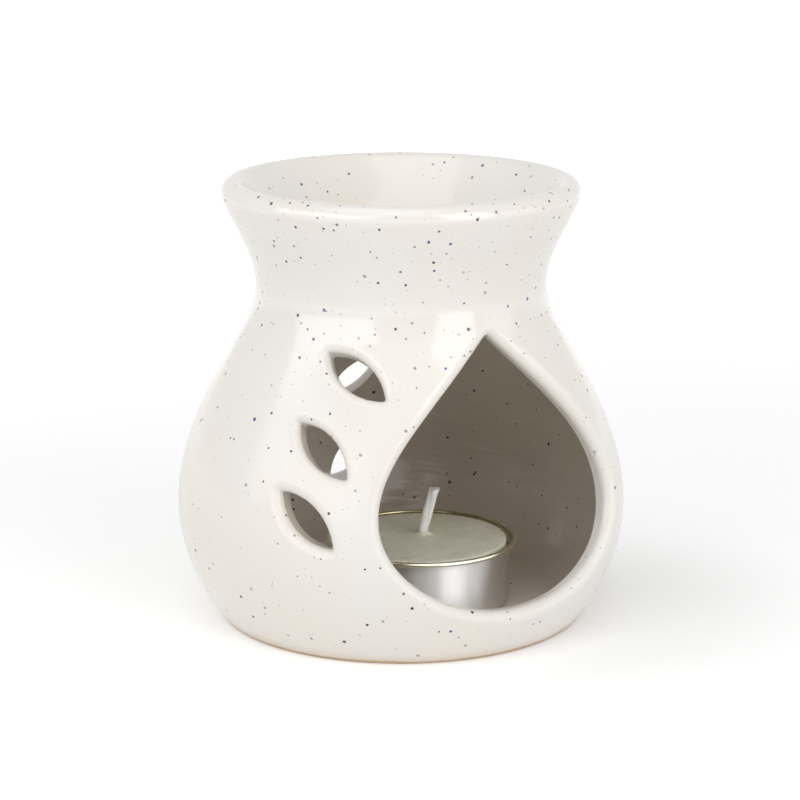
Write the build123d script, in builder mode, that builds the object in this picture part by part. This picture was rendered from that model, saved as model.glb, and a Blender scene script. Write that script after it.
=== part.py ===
# Essential oil burner: a one-piece glazed stoneware vase with an oil dish in its mouth,
# a drop-shaped door for a tealight and two groups of slanted leaf vents.
# The tealight is a cup, a wax puck, a wick and the wick's sustainer.
# The origin is the centre of the foot, +Z is up and the door faces -Y. Sizes are millimetres and degrees.
import math
import os

from build123d import *

os.makedirs("parts", exist_ok=True)

# Burner body, outside
height = 88.4
foot_radius = 36.2
foot_angle_share = 0.951
belly_radius = 45.0
belly_height = 24.2
waist_radius = 28.9
neck_height = 19.8
rim_radius = 35.6
rim_roll_radius = 2.6
flare_angle = 25.0
foot_edge_radius = 0.7

# Where the wall passes on its way, as (height share, radius share) of each stretch
shoulder_shares = [(0.455, 0.354), (0.761, 0.805)]
flare_share = (0.615, 0.53)

# Burner body, inside
wall = 4.5
floor_height = 4.0
floor_corner_radius = 7.0
dish_depth = 14.4
ceiling_corner_radius = 5.0
dish_floor_thickness = 4.2
dish_lip_angle = 140.0
dish_bowl_share = (0.70, 0.24)

# Drop-shaped door, a little off the middle and leaning to the right
door_x = -0.5
door_lean = 1.8
door_half_width = 26.0
door_widest_height = 28.0
door_sill_height = 10.3
door_tip_gap = 7.8
door_tip_angle = 46.0
door_side_pull = 12.5
door_tip_pull = 15.5
door_tip_radius = 1.2
door_outer_round = 1.8
door_inner_round = 0.8

# Leaf vents, from the top down: azimuths from the door, heights as shares of the waist's height, and slants.
# The tilt share says how far a cut leans with the wall: 1 is square to it, 0 is level
vent_length = 15.0
vent_width = 5.9
vent_tip_radius = 0.4
vent_round = 1.8
side_vent_azimuths = [-48.9, -56.0, -58.1]
side_vent_height_shares = [0.817, 0.624, 0.434]
side_vent_slants = [36.0, 41.5, 40.5]
side_vent_tilt_shares = [1.0, 1.0, 1.0]
back_vent_azimuths = [-199.5, -197.4, -198.8]
back_vent_height_shares = [0.808, 0.590, 0.319]
back_vent_slants = [42.0, 48.0, 44.0]
back_vent_tilt_shares = [0.5, 0.5, 0.5]

# Tealight cup
candle_x = -1.0
candle_y = -9.0
cup_height = 13.2
cup_rim_radius = 19.1
cup_bead_radius = 0.5
cup_neck_radius = 17.7
cup_base_radius = 17.4
cup_sheet = 0.3
cup_base_corner_radius = 1.2
cup_panel_radius = 14.0
cup_panel_rise = 1.1

# Wax, wick and sustainer
wax_drop = 0.15
wax_edge_radius = 0.3
wick_x_offset = 1.4
wick_y_offset = 1.7
wick_radius = 1.12
wick_stand = 9.3
wick_straight = 0.6
wick_bend_radius = 3.0
wick_lean = 16.0
wick_lean_heading = -33.5
sustainer_radius = 7.0
sustainer_sheet = 0.3
sustainer_collar_radius = 1.6
sustainer_collar_height = 3.0

# Fits
seat_clearance = 0.05
wax_clearance = 0.25
wick_clearance = 0.03
overrun = 5.0


def between(start, end, height_share, radius_share):
    """The (radius, height) point at those shares of the way from start to end."""
    radius = start[0] + radius_share * (end[0] - start[0])
    level = start[1] + height_share * (end[1] - start[1])
    return radius, level


def heading(angle_from_up):
    """A direction in the (radius, height) plane, leaning outward from straight up."""
    lean = math.radians(angle_from_up)
    return math.sin(lean), math.cos(lean)


def wall_station(line, level):
    """The point and direction of a rising wall line where it reaches a height."""
    low, high = 0.0, 1.0
    for _ in range(40):
        middle = (low + high) / 2
        if line.position_at(middle).Y < level:
            low = middle
        else:
            high = middle
    return line.position_at(low), line.tangent_at(low)


def inside_wall(line, level):
    """The point one wall thickness inside a rising wall line at a height."""
    place, rise = wall_station(line, level)
    return place.X - wall * rise.Y, place.Y + wall * rise.X


# Heights that follow from these
waist_height = height - neck_height
ceiling_height = height - dish_depth - dish_floor_thickness
door_tip_height = ceiling_height - door_tip_gap

belly_chord_angle = math.degrees(math.atan2(belly_radius - foot_radius, belly_height))
foot_angle = foot_angle_share * 2 * belly_chord_angle

# Points of the wall's section
foot_corner = (foot_radius, 0)
belly = (belly_radius, belly_height)
waist = (waist_radius, waist_height)
roll_centre = (rim_radius - rim_roll_radius, height - rim_roll_radius)
flare_turn = math.radians(flare_angle)
roll_start = (
    roll_centre[0] + rim_roll_radius * math.cos(flare_turn),
    roll_centre[1] - rim_roll_radius * math.sin(flare_turn),
)
lip_turn = math.radians(dish_lip_angle)
dish_lip = (
    roll_centre[0] + rim_roll_radius * math.cos(lip_turn),
    roll_centre[1] + rim_roll_radius * math.sin(lip_turn),
)
dish_centre = (0, height - dish_depth)
shoulder = [between(belly, waist, *share) for share in shoulder_shares]
flare = between(waist, roll_start, *flare_share)
wall_levels = [0, belly_height, *[level for radius, level in shoulder], waist_height, flare[1]]

# Burner body
with BuildPart() as burner_body:
    with BuildSketch(Plane.XZ):
        with BuildLine():
            outer_wall = Spline(
                foot_corner,
                belly,
                *shoulder,
                waist,
                flare,
                roll_start,
                tangents=[heading(foot_angle), heading(flare_angle)],
            )
            CenterArc(roll_centre, rim_roll_radius, -flare_angle, flare_angle + dish_lip_angle)
            Spline(
                dish_lip,
                between(dish_lip, dish_centre, *dish_bowl_share),
                dish_centre,
                tangents=[(-math.sin(lip_turn), math.cos(lip_turn)), (-1, 0)],
            )
            Polyline(dish_centre, (0, 0), foot_corner)
        make_face()
    revolve(axis=Axis.Z)
    with BuildSketch(Plane.XZ):
        with BuildLine():
            inner_wall = Spline([inside_wall(outer_wall, level) for level in wall_levels])
            below = inner_wall @ 0
            above = inner_wall @ 1
            Polyline(above, (0, above.Y), (0, below.Y), below)
        make_face()
        with Locations((0, floor_height)):
            Rectangle(belly_radius, floor_height, align=(Align.MIN, Align.MAX), mode=Mode.SUBTRACT)
        with Locations((0, ceiling_height)):
            Rectangle(belly_radius, height - ceiling_height, align=(Align.MIN, Align.MIN), mode=Mode.SUBTRACT)
        floor_corner, ceiling_corner = vertices().sort_by(Axis.X)[-2:].sort_by(Axis.Y)
        fillet(floor_corner, floor_corner_radius)
        fillet(ceiling_corner, ceiling_corner_radius)
    revolve(axis=Axis.Z, mode=Mode.SUBTRACT)

    # The door
    lean_turn = math.radians(door_lean)
    door_plane = Plane(
        (door_x, 0, door_widest_height),
        x_dir=(math.cos(lean_turn), 0, -math.sin(lean_turn)),
        z_dir=(0, -1, 0),
    )
    with BuildSketch(door_plane):
        with BuildLine():
            tip = (0, door_tip_height - door_widest_height)
            tip_turn = math.radians(door_tip_angle)
            Bezier(
                (door_half_width, 0),
                (door_half_width, door_side_pull),
                (door_tip_pull * math.sin(tip_turn), tip[1] - door_tip_pull * math.cos(tip_turn)),
                tip,
            )
            EllipticalCenterArc(
                (0, 0),
                door_half_width,
                door_widest_height - door_sill_height,
                start_angle=270,
                arc_size=90,
            )
            mirror(about=Plane.YZ)
        make_face()
        fillet(vertices().sort_by(Axis.Y)[-1], door_tip_radius)
    extrude(amount=belly_radius + overrun, mode=Mode.SUBTRACT)

    # The vents
    side_vents = zip(side_vent_azimuths, side_vent_height_shares, side_vent_slants, side_vent_tilt_shares)
    back_vents = zip(back_vent_azimuths, back_vent_height_shares, back_vent_slants, back_vent_tilt_shares)
    for azimuth, height_share, slant, tilt_share in [*side_vents, *back_vents]:
        place, rise = wall_station(outer_wall, height_share * waist_height)
        turn = math.radians(azimuth)
        tilt = tilt_share * math.atan2(-rise.X, rise.Y)
        vent_plane = Plane(
            (place.X * math.sin(turn), -place.X * math.cos(turn), place.Y),
            x_dir=(math.cos(turn), math.sin(turn), 0),
            z_dir=(math.cos(tilt) * math.sin(turn), -math.cos(tilt) * math.cos(turn), math.sin(tilt)),
        )
        tip_end = Vector(vent_length / 2, 0).rotate(Axis.Z, -slant)
        flank = Vector(0, vent_width / 2).rotate(Axis.Z, -slant)
        with BuildSketch(vent_plane):
            with BuildLine():
                ThreePointArc(-tip_end, flank, tip_end)
                ThreePointArc(tip_end, -flank, -tip_end)
            make_face()
            fillet(vertices(), vent_tip_radius)
        extrude(amount=wall + overrun, both=True, mode=Mode.SUBTRACT)

    # The glaze rounds the edges of the cuts: the door's inside and outside, the vents' outside
    for side, door_round in [(-2, door_inner_round), (-1, door_outer_round)]:
        wall_face = faces().filter_by(GeomType.REVOLUTION).sort_by(SortBy.AREA)[side]
        door_loop = wall_face.inner_wires().sort_by(SortBy.LENGTH)[-1]
        fillet(door_loop.edges(), door_round)
    outer_face = faces().filter_by(GeomType.REVOLUTION).sort_by(SortBy.AREA)[-1]
    vent_loops = outer_face.inner_wires().sort_by(SortBy.LENGTH)[:-1]
    fillet([edge for loop in vent_loops for edge in loop.edges()], vent_round)
    fillet(edges().filter_by(GeomType.CIRCLE).sort_by(Axis.Z)[0], foot_edge_radius)
burner_body.part.label = "burner_body"
export_step(burner_body.part, "parts/burner_body.step")

# Tealight: its axis and the section plane through it, with heights from the cup's seat
candle_axis = Axis((candle_x, candle_y, 0), (0, 0, 1))
cup_seat = floor_height + seat_clearance
candle_section = Plane((candle_x, candle_y, cup_seat), x_dir=(1, 0, 0), z_dir=(0, -1, 0))
bead_centre = (cup_rim_radius - cup_bead_radius, cup_height - cup_bead_radius)
cup_inner_neck_radius = cup_neck_radius - cup_sheet
cup_inner_base_radius = cup_base_radius - cup_sheet
panel_slope_radius = cup_panel_radius - cup_panel_rise
panel_top = cup_panel_rise + cup_sheet

# Tealight cup
with BuildPart() as tealight_cup:
    with BuildSketch(candle_section):
        with BuildLine():
            Polyline(
                (0, cup_panel_rise),
                (panel_slope_radius, cup_panel_rise),
                (cup_panel_radius, 0),
                (cup_base_radius, 0),
                (cup_neck_radius, bead_centre[1] - cup_sheet / 2),
                (bead_centre[0], bead_centre[1] - cup_sheet / 2),
                (bead_centre[0], bead_centre[1] + cup_sheet / 2),
                (cup_inner_neck_radius, bead_centre[1] + cup_sheet / 2),
                (cup_inner_base_radius, cup_sheet),
                (cup_panel_radius, cup_sheet),
                (panel_slope_radius, panel_top),
                (0, panel_top),
                close=True,
            )
        make_face()
        base_corners = vertices().sort_by_distance((cup_base_radius, 0))
        fillet(base_corners[0], cup_base_corner_radius)
        base_corners = vertices().sort_by_distance((cup_inner_base_radius, cup_sheet))
        fillet(base_corners[0], cup_base_corner_radius - cup_sheet)
        with Locations(bead_centre):
            Circle(cup_bead_radius)
    revolve(axis=candle_axis)
tealight_cup.part.label = "tealight_cup"
export_step(tealight_cup.part, "parts/tealight_cup.step")

# Candle: heights above the cup's seat, and the axis of the wick, which stands a little off the middle
wick_place = (candle_x + wick_x_offset, candle_y + wick_y_offset, cup_seat)
wick_axis = Axis(wick_place, (0, 0, 1))
wick_section = Plane(wick_place, x_dir=(1, 0, 0), z_dir=(0, -1, 0))
wax_bottom = panel_top + seat_clearance
wax_top = cup_height - wax_drop
wax_bottom_radius = cup_inner_base_radius - wax_clearance
wax_top_radius = cup_inner_neck_radius - wax_clearance
wick_hole_radius = wick_radius + wick_clearance

# Wax puck, with the hole for the wick and the pocket for its sustainer
with BuildPart() as candle_wax:
    with BuildSketch(candle_section):
        with BuildLine():
            Polyline(
                (0, wax_bottom),
                (wax_bottom_radius, wax_bottom),
                (wax_top_radius, wax_top),
                (0, wax_top),
                close=True,
            )
        make_face()
        fillet(vertices().sort_by(Axis.X)[-2:], wax_edge_radius)
    revolve(axis=candle_axis)
    with BuildSketch(wick_section):
        pocket_heights = [
            (wick_hole_radius, wax_top + overrun),
            (sustainer_collar_radius + seat_clearance, wax_bottom + sustainer_collar_height + seat_clearance),
            (sustainer_radius + seat_clearance, wax_bottom + sustainer_sheet + seat_clearance),
        ]
        for pocket_radius, pocket_top in pocket_heights:
            Rectangle(pocket_radius, pocket_top, align=(Align.MIN, Align.MIN))
    revolve(axis=wick_axis, mode=Mode.SUBTRACT)
candle_wax.part.label = "candle_wax"
export_step(candle_wax.part, "parts/candle_wax.step")

# Wick sustainer: a round tab with a collar
with BuildPart() as wick_sustainer:
    with BuildSketch(wick_section):
        with Locations((wick_hole_radius, wax_bottom)):
            tab_width = sustainer_radius - wick_hole_radius
            collar_width = sustainer_collar_radius - wick_hole_radius
            Rectangle(tab_width, sustainer_sheet, align=(Align.MIN, Align.MIN))
            Rectangle(collar_width, sustainer_collar_height, align=(Align.MIN, Align.MIN))
    revolve(axis=wick_axis)
wick_sustainer.part.label = "wick_sustainer"
export_step(wick_sustainer.part, "parts/wick_sustainer.step")

# Wick: straight through the wax, then bent over and cut off level
lean_turn = math.radians(wick_lean_heading)
lean_plane = Plane(
    wick_place,
    x_dir=(math.cos(lean_turn), math.sin(lean_turn), 0),
    z_dir=(math.sin(lean_turn), -math.cos(lean_turn), 0),
)
with BuildPart() as wick:
    with BuildLine(lean_plane):
        stem = Line((0, wax_bottom), (0, wax_top + wick_straight))
        bend = JernArc(stem @ 1, stem % 1, wick_bend_radius, -wick_lean)
        PolarLine(bend @ 1, wick_stand + overrun, direction=bend % 1)
    with BuildSketch(Plane(stem @ 0, z_dir=stem % 0)):
        Circle(wick_radius)
    sweep()
    split(bisect_by=Plane((0, 0, cup_seat + wax_top + wick_stand)), keep=Keep.BOTTOM)
wick.part.label = "wick"
export_step(wick.part, "parts/wick.step")
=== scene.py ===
# Essential oil burner: speckled glaze, aluminium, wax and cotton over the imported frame, in metres
import math

import bpy
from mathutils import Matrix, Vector


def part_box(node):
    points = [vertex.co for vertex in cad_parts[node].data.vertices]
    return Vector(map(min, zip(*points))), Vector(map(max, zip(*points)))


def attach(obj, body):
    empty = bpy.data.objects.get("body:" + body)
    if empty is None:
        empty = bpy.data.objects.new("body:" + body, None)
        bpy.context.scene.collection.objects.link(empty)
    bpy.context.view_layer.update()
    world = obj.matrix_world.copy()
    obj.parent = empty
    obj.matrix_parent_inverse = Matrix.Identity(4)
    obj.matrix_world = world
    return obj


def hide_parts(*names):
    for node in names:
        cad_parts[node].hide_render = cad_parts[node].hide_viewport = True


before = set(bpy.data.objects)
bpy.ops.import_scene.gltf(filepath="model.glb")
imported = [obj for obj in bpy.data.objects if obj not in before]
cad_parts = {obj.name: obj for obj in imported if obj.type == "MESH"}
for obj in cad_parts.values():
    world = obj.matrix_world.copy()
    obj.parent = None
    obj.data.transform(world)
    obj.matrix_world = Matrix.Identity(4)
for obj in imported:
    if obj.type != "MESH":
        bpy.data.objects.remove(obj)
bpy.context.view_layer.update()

MM = 0.001
FULL_TURN = 2 * math.pi

# Camera, as fitted to the photograph
view_azimuth = math.radians(-33.5)
view_pitch = math.radians(13.93)
view_distance = 515.43 * MM
view_height = 171.03 * MM
focal_pixels = 2640.7
frame_pixels = 800
axis_pixel_offset = 1.0
sensor_width = 36.0
near_clip = 10 * MM

# Places of the tealight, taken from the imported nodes
cup_low, cup_high = [Vector(corner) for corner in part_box("tealight_cup")]
wax_low, wax_high = [Vector(corner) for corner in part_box("candle_wax")]
tab_low, tab_high = [Vector(corner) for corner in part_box("wick_sustainer")]
wick_high = Vector(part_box("wick")[1])
cup_axis = Vector(((cup_low.x + cup_high.x) / 2, (cup_low.y + cup_high.y) / 2, cup_low.z))
wick_axis = Vector(((tab_low.x + tab_high.x) / 2, (tab_low.y + tab_high.y) / 2, wax_low.z))

# Tealight cup, in millimetres from its axis and seat
cup_sheet = 0.16
cup_base_profile = [
    (0, 1.25), (9.0, 1.25), (9.4, 1.12), (10.2, 1.12), (10.6, 1.25), (12.8, 1.25), (14.0, 0.1),
]
cup_foot_centre = (16.2, 1.2)
cup_foot_radius = 1.1
cup_neck = (17.55, 12.3)
cup_taper = 0.15
cup_flange = [(17.62, 12.52), (17.8, 12.66)]
cup_roll_centre = (18.6, 12.7)
cup_roll_radius = 0.42
cup_roll_turn = 340
cup_rim_band = (cup_neck[1] - 0.1, cup_neck[1] + 0.2)
cup_roll_band = (cup_roll_centre[0] - 0.5, cup_roll_centre[0])

# Wax, in millimetres from the puck's foot
wax_tall = (wax_high.z - wax_low.z) / MM
wax_side = [(0, 0), (16.4, 0), (16.75, 0.35), (17.05, wax_tall - 0.4)]
wax_top = [(16.8, wax_tall - 0.08), (14.0, wax_tall - 0.12), (0, wax_tall - 0.2)]
collar_profile = [(0.4, -0.6), (2.6, -0.3), (1.9, -0.08), (1.45, 0.16), (1.2, 0.5), (0.4, 0.5)]
pocket_profile = [
    (0, -1.0), (7.1, -1.0), (7.1, 0.36), (1.66, 0.4), (1.66, 3.1), (1.16, 3.2), (1.16, 14.0), (0, 14.0),
]
wax_voxel = 0.26
wax_grain_size = 2.2
wax_grain_height = 0.12
wax_edge_band = (9, 16.5)
wax_top_band = (wax_high.z / MM - 1.5, wax_high.z / MM - 0.5)

# Wick, in millimetres
strand_count = 3
strand_radius = 0.76
strand_offset = 0.36
strand_twist = 11
strand_step = 0.4
strand_steps = 62
wick_voxel = 0.12
wick_bend_radius = 3.0
wick_bend_start = wax_tall + 0.6
wick_lean = math.radians(16)
wick_lean_heading = math.radians(-33.5)

# Glaze: colours, each speck's tone from its own share on, and the look of the surface
ivory_warm = (0.842, 0.795, 0.728)
ivory_cool = (0.826, 0.804, 0.757)
# Painted shade: the chamber's inside has the same glaze, darkened and warmed to stand for the shade in it
chamber_painted_shade = (0.68, 0.62, 0.54)
thin_glaze = (0.70, 0.56, 0.40)
clay_dark = (0.52, 0.37, 0.23)
clay_light = (0.68, 0.53, 0.37)
faint_tones = [(0.0, (0.30, 0.29, 0.28)), (0.45, (0.17, 0.21, 0.42)), (0.93, (0.42, 0.22, 0.16))]
bold_tones = [
    (0.0, (0.02, 0.02, 0.024)),
    (0.35, (0.05, 0.05, 0.055)),
    (0.55, (0.035, 0.06, 0.23)),
    (0.96, (0.3, 0.07, 0.05)),
]
gloss_span = {"start": 0.1, "end": 0.16}
shine_span = {"start": 0.65, "end": 0.38}
belly_satin = 0.09
clay_dullness = 0.5
glaze_ior = 1.6
wave_height = 0.16
peel_height = 0.012
ring_height = 1.4
ring_stretch = (0.25, 0.25, 1.0)

# Specks: sizes in millimetres, and how their strength follows each one's chance
faint_specks = {"spacing": 1.5, "smallest": 0.05, "largest": 0.22, "softness": 0.1}
faint_strength = {"low": 0.35, "high": 1.0, "start": 0.0, "end": 0.55}
bold_specks = {"spacing": 2.0, "smallest": 0.06, "largest": 0.38, "softness": 0.05}
bold_strength = {"low": 0.0, "high": 0.7, "start": 0.45, "end": 0.98}
neck_specks = {"spacing": 1.4, "smallest": 0.04, "largest": 0.29, "softness": 0.05}
neck_strength = {"low": 0.1, "high": 0.8, "start": 0.15, "end": 0.95}
neck_speck_shift = (31 * MM, 17 * MM, 11 * MM)
speck_rarity = 2.5

# Bands on the burner, in millimetres: where each begins and where it is full
inward_band = (2, -2)
chamber_top_band = (71, 70)
chamber_floor_top_band = (14, 12)
chamber_floor_edge_band = (37, 35)
cut_edge_band = (5, 16)
door_side_band = (-32, -28)
door_front_band = (0, -10)
neck_band = (48, 62)
belly_band = (57, 45)
thin_foot_band = (0.4, 2.2)
bare_foot_band = (0.45, 0.25)
foot_wobble = 0.7
level_facing = {"low": 0.6, "high": 0.8}

# Metal, wax and cotton
sheet_tones = [(0.91, 0.91, 0.915), (0.95, 0.95, 0.95)]
# Painted reflection on the rim: dark inside the roll for the dark chamber, pale champagne outside for the
# ivory glaze
rim_painted_reflection_tones = [(0.42, 0.39, 0.24), (0.88, 0.86, 0.70)]
sheet_spread = 0.95
sheet_upright = {"X": 0.03, "Y": 0.02, "Z": 1.0}
sheet_roughness = {"start": 0.42, "end": 0.46}
rim_polish = 0.28
wax_tones = [(0.89, 0.86, 0.69), (0.95, 0.93, 0.78)]
wax_grain_tone = (0.76, 0.73, 0.55)
wax_grain_share = 0.45
frost_tone = (0.99, 0.985, 0.96)
cotton_tones = [(0.88, 0.87, 0.84), (0.97, 0.965, 0.95)]
tin_tones = [(0.52, 0.52, 0.50), (0.68, 0.68, 0.66)]

# Studio: the lamps' aim and distance, the world's fill, and the floor's glow round its shade
lamp_aim = Vector((0, 0, 45 * MM))
lamp_distance = 0.9
world_fill = 0.49
floor_size = 6.0
floor_tone = (0.9, 0.9, 0.9, 1)
floor_roughness = 0.9
shade_offset = 42 * MM
near_glow_band = (12, 60)
near_glow = {"start": 0.14, "end": 0.27}
far_glow_band = (100, 650)
far_glow = {"start": 0.0, "end": 0.43}

# Spans of a noise's values that part its patches, from soft to crisp
soft_span = {"low": 0.3, "high": 0.7}
patch_span = {"low": 0.35, "high": 0.65}
grain_span = {"low": 0.38, "high": 0.62}
crystal_span = {"low": 0.535, "high": 0.575}


def clear_selection():
    """Leaves nothing selected, so that an operator meets only what comes next."""
    if bpy.context.object and bpy.context.object.mode != "OBJECT":
        bpy.ops.object.mode_set(mode="OBJECT")
    bpy.ops.object.select_all(action="DESELECT")


def pick(piece):
    """Selects one object alone and makes it the active one."""
    clear_selection()
    piece.select_set(True)
    bpy.context.view_layer.objects.active = piece


def apply_modifier(piece, kind, **settings):
    """Adds a modifier with these settings and applies it."""
    pick(piece)
    modifier = piece.modifiers.new(kind.lower(), kind)
    for name, value in settings.items():
        setattr(modifier, name, value)
    bpy.ops.object.modifier_apply(modifier=modifier.name)


def arc(centre, radius, start, end, count):
    """Points of a profile along an arc, from one angle to another in degrees."""
    turns = [math.radians(start + (end - start) * index / count) for index in range(count + 1)]
    return [(centre[0] + radius * math.cos(turn), centre[1] + radius * math.sin(turn)) for turn in turns]


def turned(name, profile, foot, steps):
    """A vertex drawn along a profile of (radius, height) in millimetres, then spun upright."""
    clear_selection()
    corners = [foot + Vector((radius * MM, 0, level * MM)) for radius, level in profile]
    bpy.ops.mesh.primitive_plane_add(size=MM, location=corners[0])
    piece = bpy.context.object
    piece.name = name
    bpy.ops.object.transform_apply(location=True, rotation=True, scale=True)
    bpy.ops.object.mode_set(mode="EDIT")
    bpy.ops.mesh.select_all(action="SELECT")
    bpy.ops.mesh.merge(type="CENTER")
    for here, there in zip(corners, corners[1:]):
        bpy.ops.mesh.extrude_region_move(TRANSFORM_OT_translate={"value": there - here})
    bpy.ops.mesh.select_all(action="SELECT")
    bpy.ops.mesh.spin(steps=steps, angle=FULL_TURN, center=foot, axis=(0, 0, 1))
    bpy.ops.mesh.select_all(action="SELECT")
    bpy.ops.mesh.remove_doubles(threshold=0.002 * MM)
    bpy.ops.mesh.normals_make_consistent(inside=False)
    bpy.ops.object.mode_set(mode="OBJECT")
    return piece


def joined(pieces):
    """Several objects made one, under the first one's name."""
    pick(pieces[0])
    for piece in pieces:
        piece.select_set(True)
    bpy.ops.object.join()
    return pieces[0]


def smooth(piece, angle):
    """Smooth shading, with edges sharper than the angle kept."""
    pick(piece)
    bpy.ops.object.shade_smooth_by_angle(angle=math.radians(angle))


def cut_away(piece, tool):
    """Takes a tool's shape out of a piece and removes the tool."""
    apply_modifier(piece, "BOOLEAN", operation="DIFFERENCE", solver="EXACT", object=tool)
    bpy.data.objects.remove(tool, do_unlink=True)


def new_material(name):
    """A node material, with its tree and its main shader."""
    material = bpy.data.materials.new(name)
    material.use_nodes = True
    return material, material.node_tree, material.node_tree.nodes["Principled BSDF"]


def wire(tree, node, inputs):
    """Sets a node's plain inputs and links its wired ones."""
    for socket, value in inputs.items():
        if isinstance(value, bpy.types.NodeSocket):
            tree.links.new(value, node.inputs[socket])
        else:
            node.inputs[socket].default_value = value


def add(tree, kind, inputs=None, **settings):
    """A shader node with its settings made and its inputs wired."""
    made = tree.nodes.new(kind)
    for name, value in settings.items():
        setattr(made, name, value)
    wire(tree, made, inputs or {})
    return made


def sums(tree, operation, first, second=0.0):
    """The result of a Math node."""
    return add(tree, "ShaderNodeMath", {0: first, 1: second}, operation=operation).outputs[0]


def times(tree, first, second):
    """Two values multiplied."""
    return sums(tree, "MULTIPLY", first, second)


def plus(tree, first, second):
    """Two values added."""
    return sums(tree, "ADD", first, second)


def minus(tree, first, second):
    """A value less another."""
    return sums(tree, "SUBTRACT", first, second)


def ease(tree, value, low=0.0, high=1.0, start=0.0, end=1.0):
    """A smooth step from start to end while the value goes from low to high."""
    inputs = {"Value": value, "From Min": low, "From Max": high, "To Min": start, "To Max": end}
    return add(tree, "ShaderNodeMapRange", inputs, interpolation_type="SMOOTHSTEP").outputs["Result"]


def band(tree, value, limits, start=0.0, end=1.0):
    """A smooth step between two limits in millimetres."""
    return ease(tree, value, limits[0] * MM, limits[1] * MM, start, end)


def blend(tree, factor, first, second):
    """Two colours mixed by a factor."""
    mixer = add(tree, "ShaderNodeMix", {"Factor": factor}, data_type="RGBA")
    colour_sockets = [socket for socket in mixer.inputs if socket.type == "RGBA"]
    for socket, colour in zip(colour_sockets, (first, second)):
        if isinstance(colour, bpy.types.NodeSocket):
            tree.links.new(colour, socket)
        else:
            socket.default_value = (*colour, 1)
    return next(socket for socket in mixer.outputs if socket.type == "RGBA")


def cloud(tree, place, size, detail=2.0, roughness=0.5):
    """Noise whose patches are about a size in millimetres."""
    inputs = {"Vector": place, "Scale": 1 / (size * MM), "Detail": detail, "Roughness": roughness}
    return add(tree, "ShaderNodeTexNoise", inputs).outputs["Fac"]


def stops(tree, factor, colours):
    """A stepped ramp of colours, each from its own share on."""
    ramp = add(tree, "ShaderNodeValToRGB", {"Fac": factor})
    ramp.color_ramp.interpolation = "CONSTANT"
    while len(ramp.color_ramp.elements) < len(colours):
        ramp.color_ramp.elements.new(0.5)
    for element, (share, colour) in zip(ramp.color_ramp.elements, colours):
        element.position = share
        element.color = (*colour, 1)
    return ramp.outputs["Color"]


def object_place(tree):
    """The place of a point on the piece."""
    return add(tree, "ShaderNodeTexCoord").outputs["Object"]


def parts_of(tree, vector):
    """The three parts of a vector, by name."""
    return add(tree, "ShaderNodeSeparateXYZ", {"Vector": vector}).outputs


def from_cup(tree, place):
    """A place measured from the cup's axis and seat."""
    inputs = {0: place, 1: tuple(cup_axis)}
    return add(tree, "ShaderNodeVectorMath", inputs, operation="SUBTRACT").outputs["Vector"]


def from_axis(tree, place):
    """How far a place is from the upright axis through its origin."""
    level = add(tree, "ShaderNodeVectorMath", {0: place, 1: (1, 1, 0)}, operation="MULTIPLY")
    inputs = {0: level.outputs["Vector"]}
    return add(tree, "ShaderNodeVectorMath", inputs, operation="LENGTH").outputs["Value"]


def stretched(tree, place, scale):
    """A place scaled along each axis, so that a pattern on it is drawn out."""
    return add(tree, "ShaderNodeMapping", {"Vector": place, "Scale": scale}).outputs["Vector"]


def emboss(tree, shader, height, strength, depth):
    """Raises the surface by a pattern, with its depth in millimetres."""
    bump = add(tree, "ShaderNodeBump", {"Height": height, "Strength": strength, "Distance": depth * MM})
    wire(tree, shader, {"Normal": bump.outputs["Normal"]})


def specks(tree, place, spacing, smallest, largest, softness):
    """Round specks with one chance in each cell: their cover, and two random numbers for each."""
    cells = add(tree, "ShaderNodeTexVoronoi", {"Vector": place, "Scale": 1 / (spacing * MM)}, feature="F1")
    chances = add(tree, "ShaderNodeSeparateColor", {"Color": cells.outputs["Color"]})
    grown = sums(tree, "POWER", chances.outputs["Red"], speck_rarity)
    radius = ease(tree, grown, start=smallest / spacing, end=largest / spacing)
    inside = minus(tree, radius, cells.outputs["Distance"])
    cover = ease(tree, inside, -softness / spacing, softness / spacing)
    return cover, chances.outputs["Green"], chances.outputs["Blue"]


def speckled(tree, place, glaze, sizes, strength, tones, where=1.0):
    """A glaze with one set of specks on it, and where they lie."""
    cover, tone, chance = specks(tree, place, **sizes)
    shown = times(tree, times(tree, cover, ease(tree, chance, **strength)), where)
    return blend(tree, shown, glaze, stops(tree, tone, tones))


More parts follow.
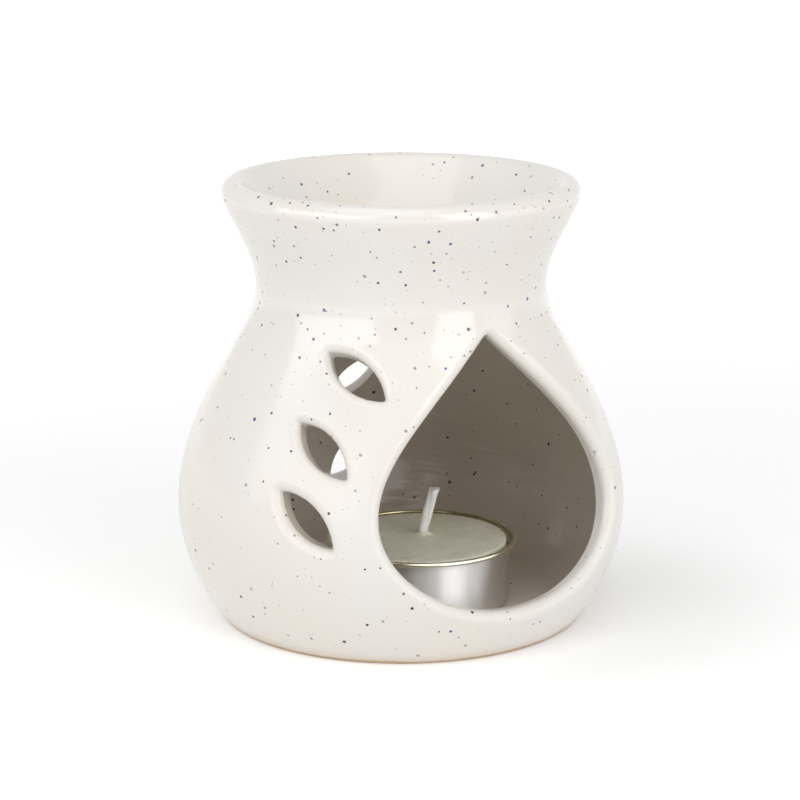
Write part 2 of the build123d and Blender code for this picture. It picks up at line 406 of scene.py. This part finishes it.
def speckled_glaze():
    """Glossy ivory glaze with dark, blue and rusty specks, over buff clay that shows at the foot, with
    painted shade inside the chamber.
    """
    material, tree, shader = new_material("speckled_glaze")
    coordinates = add(tree, "ShaderNodeTexCoord")
    place = coordinates.outputs["Object"]
    spot = parts_of(tree, place)
    facing = parts_of(tree, coordinates.outputs["Normal"])

    # Walls that look towards the axis below the dish are the chamber's, and so is its floor: the places
    # that take the painted shade and the rings
    outward = plus(tree, times(tree, spot["X"], facing["X"]), times(tree, spot["Y"], facing["Y"]))
    inner = band(tree, outward, inward_band)
    outside = ease(tree, inner, start=1.0, end=0.0)
    walls = times(tree, inner, band(tree, spot["Z"], chamber_top_band))
    middle = band(tree, from_axis(tree, place), chamber_floor_edge_band)
    low_middle = times(tree, band(tree, spot["Z"], chamber_floor_top_band), middle)
    chamber_floor = times(tree, low_middle, ease(tree, facing["Z"], **level_facing))
    chamber = sums(tree, "MAXIMUM", walls, chamber_floor)

    # The cut edge of the door looks sideways, and is kept out of the chamber's painted shade, so it stays
    # as pale as the outside
    sideways = minus(tree, times(tree, spot["X"], facing["Y"]), times(tree, spot["Y"], facing["X"]))
    cut_edge = band(tree, sums(tree, "ABSOLUTE", sideways), cut_edge_band)
    by_door = times(tree, band(tree, spot["X"], door_side_band), band(tree, spot["Y"], door_front_band))
    chamber = times(tree, chamber, minus(tree, 1.0, times(tree, cut_edge, by_door)))

    # Ivory, a little warmer and cooler in patches, and darker in the chamber, where the darkness is painted
    # shade
    patches = ease(tree, cloud(tree, place, size=38.0, detail=3.0), **patch_span)
    glaze = blend(tree, patches, ivory_warm, ivory_cool)
    glaze = blend(tree, chamber, glaze, chamber_painted_shade)

    # Fine faint specks, then the larger ones, and more of them on the neck
    neck = times(tree, band(tree, spot["Z"], neck_band), outside)
    mapping = add(tree, "ShaderNodeMapping", {"Vector": place, "Location": neck_speck_shift})
    neck_place = mapping.outputs["Vector"]
    glaze = speckled(tree, place, glaze, faint_specks, faint_strength, faint_tones)
    glaze = speckled(tree, place, glaze, bold_specks, bold_strength, bold_tones)
    glaze = speckled(tree, neck_place, glaze, neck_specks, neck_strength, bold_tones, where=neck)

    # Bare clay along the foot, and a thin warm edge of glaze above it
    level = minus(tree, spot["Z"], times(tree, cloud(tree, place, size=9.0), foot_wobble * MM))
    glaze = blend(tree, band(tree, level, thin_foot_band, start=0.3, end=0.0), glaze, thin_glaze)
    clay = blend(tree, cloud(tree, place, size=0.5, detail=4.0), clay_dark, clay_light)
    bare = band(tree, level, bare_foot_band)

    # Gloss, a little uneven, softer on the belly and matt where the clay is bare
    belly = times(tree, band(tree, spot["Z"], belly_band), outside)
    gloss = ease(tree, cloud(tree, place, size=12.0), **soft_span, **gloss_span)
    softer = plus(tree, times(tree, belly, belly_satin), times(tree, bare, clay_dullness))
    wire(tree, shader, {
        "Base Color": blend(tree, bare, glaze, clay),
        "Roughness": plus(tree, gloss, softer),
        "Specular IOR Level": ease(tree, belly, **shine_span),
        "IOR": glaze_ior,
    })

    # The glaze lies in soft waves, with the potter's rings inside
    waves = times(tree, cloud(tree, place, size=18.0, detail=0.0), wave_height)
    peel = times(tree, cloud(tree, place, size=2.2, detail=1.0), peel_height)
    rings = cloud(tree, stretched(tree, place, ring_stretch), size=3.6)
    rings = times(tree, rings, times(tree, chamber, ring_height))
    emboss(tree, shader, plus(tree, plus(tree, waves, peel), rings), strength=0.5, depth=0.5)
    return material


def cup_aluminium():
    """Thin drawn aluminium: satin and softly dented, with a painted reflection on the rim, champagne
    outside and darker inside the roll.
    """
    material, tree, shader = new_material("cup_aluminium")
    place = from_cup(tree, object_place(tree))
    marks = ease(tree, cloud(tree, stretched(tree, place, (1.0, 1.0, 0.1)), size=1.2), **soft_span)
    rim = band(tree, parts_of(tree, place)["Z"], cup_rim_band)
    # Painted reflection: the roll darker on its inner half and champagne on its outer half
    rim_painted_reflection = blend(tree, band(tree, from_axis(tree, place), cup_roll_band), *rim_painted_reflection_tones)
    satin = ease(tree, marks, **sheet_roughness)

    # The marks of drawing lie round the cup, so they spread a reflection upright
    upright = add(tree, "ShaderNodeCombineXYZ", sheet_upright)
    wire(tree, shader, {
        "Base Color": blend(tree, rim, blend(tree, marks, *sheet_tones), rim_painted_reflection),
        "Roughness": minus(tree, satin, times(tree, rim, rim_polish)),
        "Metallic": 1.0,
        "Tangent": upright.outputs["Vector"],
        "Anisotropic": ease(tree, rim, start=sheet_spread, end=0.0),
    })
    emboss(tree, shader, cloud(tree, place, size=6.0, detail=1.0), strength=0.3, depth=0.1)
    return material


def paraffin():
    """Grey-beige pressed wax: cloudy and grainy, with pale frosting that thickens towards the edge."""
    material, tree, shader = new_material("paraffin")
    place = object_place(tree)
    edge = band(tree, from_axis(tree, from_cup(tree, place)), wax_edge_band)
    clouds = ease(tree, cloud(tree, place, size=5.0, detail=3.0, roughness=0.6), **patch_span)
    grain = ease(tree, cloud(tree, place, size=0.7, detail=3.0, roughness=0.7), **grain_span)
    body = blend(tree, clouds, *wax_tones)
    body = blend(tree, times(tree, grain, wax_grain_share), body, wax_grain_tone)

    # Frosting lies on the top of the puck
    crystals = ease(tree, cloud(tree, place, size=1.7, detail=5.0, roughness=0.85), **crystal_span)
    upper = band(tree, parts_of(tree, place)["Z"], wax_top_band, start=0.2)
    thickness = times(tree, upper, ease(tree, edge, start=0.45))
    wire(tree, shader, {
        "Base Color": blend(tree, times(tree, crystals, thickness), body, frost_tone),
        "Roughness": ease(tree, grain, start=0.32, end=0.5),
        "Subsurface Weight": 0.12,
        "Subsurface Radius": (1.0, 0.8, 0.5),
        "Subsurface Scale": 0.6 * MM,
    })

    # Crumbs, coarser towards the edge, over soft hollows
    crumbs = cloud(tree, place, size=0.7, detail=4.0, roughness=0.65)
    crumbs = times(tree, crumbs, ease(tree, edge, start=0.7, end=1.5))
    emboss(tree, shader, plus(tree, crumbs, cloud(tree, place, size=3.0)), strength=0.9, depth=0.35)
    return material


def waxed_cotton():
    """White cotton strands under a thin coat of wax."""
    material, tree, shader = new_material("waxed_cotton")
    lengthwise = stretched(tree, object_place(tree), (1.0, 1.0, 0.12))
    fibres = cloud(tree, lengthwise, size=0.18, detail=3.0, roughness=0.6)
    wire(tree, shader, {
        "Base Color": blend(tree, ease(tree, fibres, **patch_span), *cotton_tones),
        "Roughness": ease(tree, fibres, **soft_span, start=0.5, end=0.7),
        "Subsurface Weight": 0.2,
        "Subsurface Scale": 0.5 * MM,
    })
    emboss(tree, shader, fibres, strength=0.5, depth=0.06)
    return material


def tin_plate():
    """Tin-plated sheet, with faint spangle and rolling marks."""
    material, tree, shader = new_material("tin_plate")
    marks = cloud(tree, stretched(tree, object_place(tree), (0.1, 1.0, 1.0)), size=0.25, detail=3.0)
    wire(tree, shader, {
        "Base Color": blend(tree, marks, *tin_tones),
        "Roughness": ease(tree, marks, **soft_span, start=0.28, end=0.42),
        "Metallic": 1.0,
    })
    return material


def seen_white(tree):
    """1 for rays that show a backdrop, to the camera, in a mirror or through glass, and 0 for light."""
    paths = add(tree, "ShaderNodeLightPath")
    direct = sums(tree, "MAXIMUM", paths.outputs["Is Camera Ray"], paths.outputs["Is Glossy Ray"])
    return sums(tree, "MAXIMUM", direct, paths.outputs["Is Transmission Ray"])


def pale_floor():
    """A pale floor with a painted glow, seen only straight on and in reflections, weakest round the shadow
    to the right and turning the floor white further off.
    """
    material, tree, shader = new_material("pale_floor")
    shade = (shade_offset * math.cos(view_azimuth), shade_offset * math.sin(view_azimuth), 0)
    inputs = {0: object_place(tree), 1: shade}
    reach = add(tree, "ShaderNodeVectorMath", inputs, operation="DISTANCE").outputs["Value"]
    near = band(tree, reach, near_glow_band, **near_glow)
    glow = plus(tree, near, band(tree, reach, far_glow_band, **far_glow))
    wire(tree, shader, {
        "Base Color": floor_tone,
        "Roughness": floor_roughness,
        "Emission Color": (1, 1, 1, 1),
        "Emission Strength": times(tree, glow, seen_white(tree)),
    })
    return material


def dress(node, finish):
    """Puts a finish on a CAD node that stays in view."""
    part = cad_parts[node]
    part.data.materials.clear()
    part.data.materials.append(finish)


def stands_for(piece, body, node, finish):
    """Gives a modelled piece its finish and its body, and hides the node that it stands for."""
    piece.data.materials.clear()
    piece.data.materials.append(finish)
    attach(piece, body)
    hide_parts(node)


def drawn_cup():
    """The cup's sheet with its stepped base, round foot, upright wall and outward rolled rim."""
    foot = arc(cup_foot_centre, cup_foot_radius, start=-90, end=0, count=6)
    roll = arc(cup_roll_centre, cup_roll_radius, start=180, end=180 - cup_roll_turn, count=22)
    wall = [(cup_neck[0] - cup_taper, cup_neck[1] / 2), cup_neck]
    profile = [*cup_base_profile, *foot, *wall, *cup_flange, *roll]
    cup = turned("drawn_cup", profile, cup_axis, steps=160)
    apply_modifier(cup, "SOLIDIFY", thickness=cup_sheet * MM, offset=0)
    smooth(cup, angle=35)
    return cup


def wax_puck():
    """The puck, with a collar of wax drawn up round the wick and a pocket for the sustainer."""
    puck_foot = Vector((cup_axis.x, cup_axis.y, wax_low.z))
    puck = turned("wax_puck", [*wax_side, *wax_top], puck_foot, steps=96)
    collar_foot = wick_axis + Vector((0, 0, wax_tall * MM))
    collar = turned("wax_collar", [*collar_profile, collar_profile[0]], collar_foot, steps=48)
    puck = joined([puck, collar])
    apply_modifier(puck, "REMESH", mode="VOXEL", voxel_size=wax_voxel * MM)
    apply_modifier(puck, "SMOOTH", factor=0.5, iterations=3)
    grain = bpy.data.textures.new("wax_grain", "CLOUDS")
    grain.noise_scale = wax_grain_size * MM
    apply_modifier(puck, "DISPLACE", texture=grain, strength=wax_grain_height * MM, mid_level=0.5)
    cut_away(puck, turned("pocket_tool", pocket_profile, wick_axis, steps=48))
    smooth(puck, angle=40)
    return puck


def bend_over(wick):
    """Bends a straight wick along an arc, and leans what is above the arc."""
    aside = Vector((math.cos(wick_lean_heading), math.sin(wick_lean_heading), 0))
    start = wax_low.z + wick_bend_start * MM
    radius = wick_bend_radius * MM
    for vertex in wick.data.vertices:
        rise = vertex.co.z - start
        if rise <= 0:
            continue
        turn = min(rise / radius, wick_lean)
        past = rise - turn * radius
        offset = (vertex.co - wick_axis).dot(aside)
        square = vertex.co - wick_axis - aside * offset
        reach = radius - (radius - offset) * math.cos(turn) + past * math.sin(turn)
        climb = (radius - offset) * math.sin(turn) + past * math.cos(turn)
        place = wick_axis + aside * reach + square
        vertex.co = (place.x, place.y, start + climb)


def cotton_wick():
    """Three twisted strands under a coat of wax, bent over and cut off level."""
    clear_selection()
    strands = []
    for index in range(strand_count):
        turn = FULL_TURN * index / strand_count
        offset = Vector((math.cos(turn), math.sin(turn), 0)) * strand_offset * MM
        bpy.ops.mesh.primitive_circle_add(
            vertices=16, radius=strand_radius * MM, fill_type="NGON", location=wick_axis + offset
        )
        bpy.ops.object.transform_apply(location=True, rotation=True, scale=True)
        strands.append(bpy.context.object)
    wick = joined(strands)
    wick.name = "cotton_wick"
    bpy.ops.object.mode_set(mode="EDIT")
    bpy.ops.mesh.select_all(action="SELECT")
    for _ in range(strand_steps):
        bpy.ops.mesh.extrude_region_move(TRANSFORM_OT_translate={"value": (0, 0, strand_step * MM)})
        bpy.ops.transform.rotate(
            value=math.radians(strand_twist) * strand_step, orient_axis="Z", center_override=wick_axis
        )
    bpy.ops.mesh.select_all(action="SELECT")
    bpy.ops.mesh.normals_make_consistent(inside=False)
    apply_modifier(wick, "REMESH", mode="VOXEL", voxel_size=wick_voxel * MM)
    apply_modifier(wick, "SMOOTH", factor=0.5, iterations=2)
    bend_over(wick)
    pick(wick)
    bpy.ops.object.mode_set(mode="EDIT")
    bpy.ops.mesh.select_all(action="SELECT")
    bpy.ops.mesh.bisect(plane_co=wick_high, plane_no=(0, 0, 1), clear_outer=True, use_fill=True)
    bpy.ops.object.mode_set(mode="OBJECT")
    smooth(wick, angle=40)
    return wick


def softbox(name, azimuth, elevation, width, height, power):
    """A rectangular lamp that faces the burner's middle, with its angles in degrees."""
    turn = math.radians(azimuth)
    rise = math.radians(elevation)
    away = Vector((math.sin(turn) * math.cos(rise), -math.cos(turn) * math.cos(rise), math.sin(rise)))
    bpy.ops.object.light_add(type="AREA", location=lamp_aim + away * lamp_distance)
    lamp = bpy.context.object
    lamp.name = name
    lamp.data.shape = "RECTANGLE"
    lamp.data.size = width
    lamp.data.size_y = height
    lamp.data.energy = power
    lamp.rotation_euler = (-away).to_track_quat("-Z", "Y").to_euler()


# Burner
dress("burner_body", speckled_glaze())

# Tealight
stands_for(drawn_cup(), "cup", "tealight_cup", cup_aluminium())
stands_for(wax_puck(), "candle", "candle_wax", paraffin())
stands_for(cotton_wick(), "candle", "wick", waxed_cotton())
dress("wick_sustainer", tin_plate())

# Camera
bpy.ops.object.camera_add(
    location=(view_distance * math.sin(view_azimuth), -view_distance * math.cos(view_azimuth), view_height),
    rotation=(math.pi / 2 - view_pitch, 0, view_azimuth + axis_pixel_offset / focal_pixels),
)
camera = bpy.context.object
camera.data.sensor_width = sensor_width
camera.data.lens = focal_pixels * sensor_width / frame_pixels
camera.data.clip_start = near_clip
bpy.context.scene.camera = camera

# Lamps
softbox("left_softbox", azimuth=-86, elevation=20, width=1.1, height=0.5, power=2.7)
softbox("front_softbox", azimuth=-25, elevation=45, width=0.9, height=0.5, power=0.5)
softbox("right_softbox", azimuth=9, elevation=18, width=0.5, height=0.75, power=2.3)
softbox("far_right_softbox", azimuth=45, elevation=12, width=0.45, height=0.4, power=0.4)
softbox("top_softbox", azimuth=-60, elevation=75, width=0.7, height=0.7, power=1.2)

# World: white where it is seen, a softer fill as light
world = bpy.context.scene.world or bpy.data.worlds.new("studio")
bpy.context.scene.world = world
world.use_nodes = True
sky = world.node_tree
strength = ease(sky, seen_white(sky), start=world_fill, end=1.0)
wire(sky, sky.nodes["Background"], {"Color": (1, 1, 1, 1), "Strength": strength})

# Floor
clear_selection()
bpy.ops.mesh.primitive_plane_add(size=floor_size)
floor = bpy.context.object
floor.name = "floor"
floor.data.materials.append(pale_floor())

bpy.context.scene.view_settings.view_transform = "Standard"
